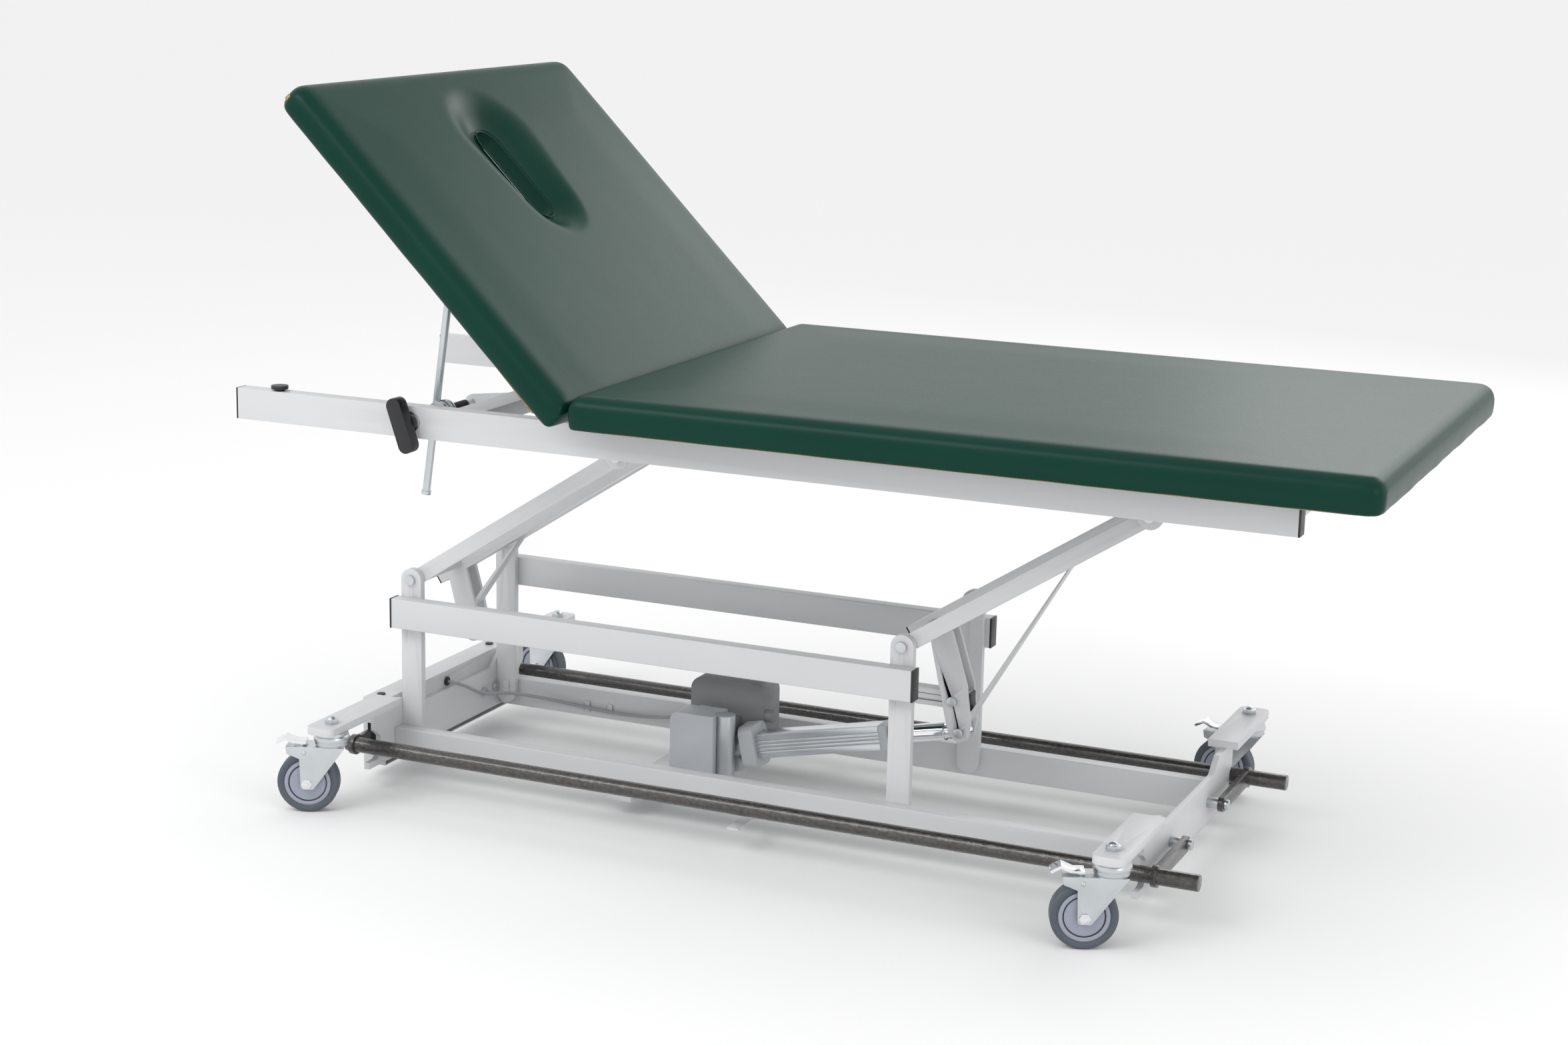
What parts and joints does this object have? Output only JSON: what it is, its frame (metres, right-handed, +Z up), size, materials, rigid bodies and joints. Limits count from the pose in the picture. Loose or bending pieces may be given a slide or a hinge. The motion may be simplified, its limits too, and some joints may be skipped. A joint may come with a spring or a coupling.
{
  "type": "height-adjustable exam table",
  "caption": "Padded exam table on a motorised parallel-arm lift, with a tilting backrest, face slot, foot bars along both sides and braked swivel casters",
  "frame": {"origin": "on the floor, under the centre of the table's outline at rest", "axes": "+Z up; +X towards the foot end; the operator's side with the clamp handle is -Y"},
  "size_m": [1.888, 0.864, 1.1906],
  "materials": {
    "white_steel": "soft-gloss powder coat",
    "black_plastic": "fine-grained",
    "zinc": "bright zinc plate",
    "chrome": "polished",
    "extrusion": "satin anodised",
    "light_plastic": "satin",
    "grey_plastic": "satin",
    "hammertone": "hammered texture",
    "vinyl": "satin vinyl",
    "plywood": "plain",
    "tread_rubber": "non-marking",
    "hub_plastic": "satin",
    "cable_grey": "satin"
  },
  "bodies": {
    "base": {"lower_rails": "white_steel", "uprights": "white_steel", "guard_rails": "white_steel", "base_caps": "black_plastic", "end_plates": "white_steel", "caster_bars": "white_steel", "control_box": "white_steel", "actuator_bracket": "white_steel", "base_bolts": "zinc", "rail_clips": "white_steel", "motor_cable": "cable_grey"},
    "foot_arm": {"foot_arm": "white_steel", "foot_arm_lever": "white_steel", "foot_arm_cap": "black_plastic", "foot_arm_bolts": "zinc"},
    "head_arm": {"head_arm": "white_steel", "head_arm_lever": "white_steel", "head_arm_cap": "black_plastic", "head_arm_bolts": "zinc"},
    "tie_link": {"tie_link": "white_steel", "tie_link_caps": "black_plastic"},
    "actuator_rod": {"actuator_rod": "chrome"},
    "actuator": {"actuator_tube": "extrusion", "actuator_guide": "light_plastic", "actuator_collar": "light_plastic", "gearbox_cover": "light_plastic", "gear_housing": "extrusion", "motor_housing": "grey_plastic"},
    "top_frame": {"top_rails": "white_steel", "top_caps": "black_plastic", "cross_members": "white_steel", "upper_pivot_bolts": "zinc", "seat_board": "plywood", "seat_cushion": "vinyl", "clamp_shaft": "zinc", "clamp_spring": "black_plastic"},
    "backrest": {"backrest_cushion": "vinyl", "backrest_board": "plywood", "backrest_hinges": "zinc", "rod_bracket": "zinc"},
    "support_rod": {"support_rod": "zinc"},
    "t_handle": {"t_handle": "black_plastic"},
    "foot_bar_near": {"foot_bar_near": "hammertone"},
    "foot_bar_far": {"foot_bar_far": "hammertone"},
    "fork_near_head": {"fork_near_head": "zinc"},
    "wheel_near_head": {"tread_near_head": "tread_rubber", "hub_near_head": "hub_plastic"},
    "pedal_near_head": {"pedal_near_head": "chrome"},
    "fork_near_foot": {"fork_near_foot": "zinc"},
    "wheel_near_foot": {"tread_near_foot": "tread_rubber", "hub_near_foot": "hub_plastic"},
    "pedal_near_foot": {"pedal_near_foot": "chrome"},
    "fork_far_head": {"fork_far_head": "zinc"},
    "wheel_far_head": {"tread_far_head": "tread_rubber", "hub_far_head": "hub_plastic"},
    "pedal_far_head": {"pedal_far_head": "chrome"},
    "fork_far_foot": {"fork_far_foot": "zinc"},
    "wheel_far_foot": {"tread_far_foot": "tread_rubber", "hub_far_foot": "hub_plastic"},
    "pedal_far_foot": {"pedal_far_foot": "chrome"}
  },
  "joints": [
    {"name": "lift", "type": "hinge", "parent": "base", "child": "foot_arm", "pos_m": [0.1652, 0, 0.3423], "axis": [0, -1, 0], "range_deg": [-34, 35]},
    {"name": "head_arm_pivot", "type": "hinge", "parent": "base", "child": "head_arm", "pos_m": [-0.7193, 0, 0.3423], "axis": [0, -1, 0], "range_deg": [-34, 35]},
    {"name": "tie_link_pivot", "type": "hinge", "parent": "foot_arm", "child": "tie_link", "pos_m": [0.1977, 0, 0.2203], "axis": [0, -1, 0], "range_deg": [-35, 34]},
    {"name": "top_frame_pivot", "type": "hinge", "parent": "foot_arm", "child": "top_frame", "pos_m": [0.5491, 0, 0.5906], "axis": [0, -1, 0], "range_deg": [-35, 34]},
    {"name": "rod_eye_pivot", "type": "hinge", "parent": "foot_arm", "child": "actuator_rod", "pos_m": [0.2109, 0, 0.1693], "axis": [0, -1, 0], "range_deg": [-35, 34]},
    {"name": "actuator_stroke", "type": "slide", "parent": "actuator_rod", "child": "actuator", "axis": [-0.978, 0, -0.2085], "range_m": [-0.1025, 0.1085]},
    {"name": "backrest_tilt", "type": "hinge", "parent": "top_frame", "child": "backrest", "pos_m": [-0.314, 0, 0.7125], "axis": [0, 1, 0], "range_deg": [-44.75, 24]},
    {"name": "support_rod_pivot", "type": "hinge", "parent": "backrest", "child": "support_rod", "pos_m": [-0.588, -0.236, 0.92642], "axis": [0, 1, 0], "range_deg": [-9, 18]},
    {"name": "clamp_turn", "type": "hinge", "parent": "top_frame", "child": "t_handle", "pos_m": [-0.614, -0.355, 0.65], "axis": [0, 1, 0], "range_deg": [-90, 90]},
    {"name": "foot_bar_near_press", "type": "hinge", "parent": "base", "child": "foot_bar_near", "pos_m": [-0.05, -0.1063, 0.075], "axis": [1, 0, 0], "range_deg": [-4, 4], "stiffness_Nm_per_rad": 400},
    {"name": "foot_bar_far_press", "type": "hinge", "parent": "base", "child": "foot_bar_far", "pos_m": [-0.05, 0.1063, 0.075], "axis": [1, 0, 0], "range_deg": [-4, 4], "stiffness_Nm_per_rad": 400},
    {"name": "swivel_near_head", "type": "hinge", "parent": "base", "child": "fork_near_head", "pos_m": [-0.7388, -0.382, 0.12], "axis": [0, 0, 1], "continuous": true},
    {"name": "roll_near_head", "type": "hinge", "parent": "fork_near_head", "child": "wheel_near_head", "pos_m": [-0.77378, -0.39685, 0.05], "axis": [-0.3907, 0.9205, 0], "continuous": true},
    {"name": "brake_near_head", "type": "hinge", "parent": "fork_near_head", "child": "pedal_near_head", "pos_m": [-0.78114, -0.39997, 0.116], "axis": [-0.3907, 0.9205, 0], "range_deg": [0, 12]},
    {"name": "swivel_near_foot", "type": "hinge", "parent": "base", "child": "fork_near_foot", "pos_m": [0.5828, -0.382, 0.12], "axis": [0, 0, 1], "continuous": true},
    {"name": "roll_near_foot", "type": "hinge", "parent": "fork_near_foot", "child": "wheel_near_foot", "pos_m": [0.54782, -0.39685, 0.05], "axis": [-0.3907, 0.9205, 0], "continuous": true},
    {"name": "brake_near_foot", "type": "hinge", "parent": "fork_near_foot", "child": "pedal_near_foot", "pos_m": [0.54046, -0.39997, 0.116], "axis": [-0.3907, 0.9205, 0], "range_deg": [0, 12]},
    {"name": "swivel_far_head", "type": "hinge", "parent": "base", "child": "fork_far_head", "pos_m": [-0.7388, 0.382, 0.12], "axis": [0, 0, 1], "continuous": true},
    {"name": "roll_far_head", "type": "hinge", "parent": "fork_far_head", "child": "wheel_far_head", "pos_m": [-0.77659, 0.38597, 0.05], "axis": [0.1045, 0.9945, 0], "continuous": true},
    {"name": "brake_far_head", "type": "hinge", "parent": "fork_far_head", "child": "pedal_far_head", "pos_m": [-0.78455, 0.38681, 0.116], "axis": [0.1045, 0.9945, 0], "range_deg": [0, 12]},
    {"name": "swivel_far_foot", "type": "hinge", "parent": "base", "child": "fork_far_foot", "pos_m": [0.5828, 0.382, 0.12], "axis": [0, 0, 1], "continuous": true},
    {"name": "roll_far_foot", "type": "hinge", "parent": "fork_far_foot", "child": "wheel_far_foot", "pos_m": [0.54482, 0.38333, 0.05], "axis": [0.0349, 0.9994, 0], "continuous": true},
    {"name": "brake_far_foot", "type": "hinge", "parent": "fork_far_foot", "child": "pedal_far_foot", "pos_m": [0.53683, 0.38361, 0.116], "axis": [0.0349, 0.9994, 0], "range_deg": [0, 12]}
  ],
  "couplings": [
    {"joint": "head_arm_pivot", "follows": "lift", "ratio": 1},
    {"joint": "tie_link_pivot", "follows": "lift", "ratio": -1},
    {"joint": "top_frame_pivot", "follows": "lift", "ratio": -1},
    {"joint": "rod_eye_pivot", "follows": "lift", "ratio": -1},
    {"joint": "actuator_stroke", "follows": "lift", "m_per_rad": 0.1696},
    {"joint": "support_rod_pivot", "follows": "backrest_tilt", "ratio": -0.372}
  ]
}
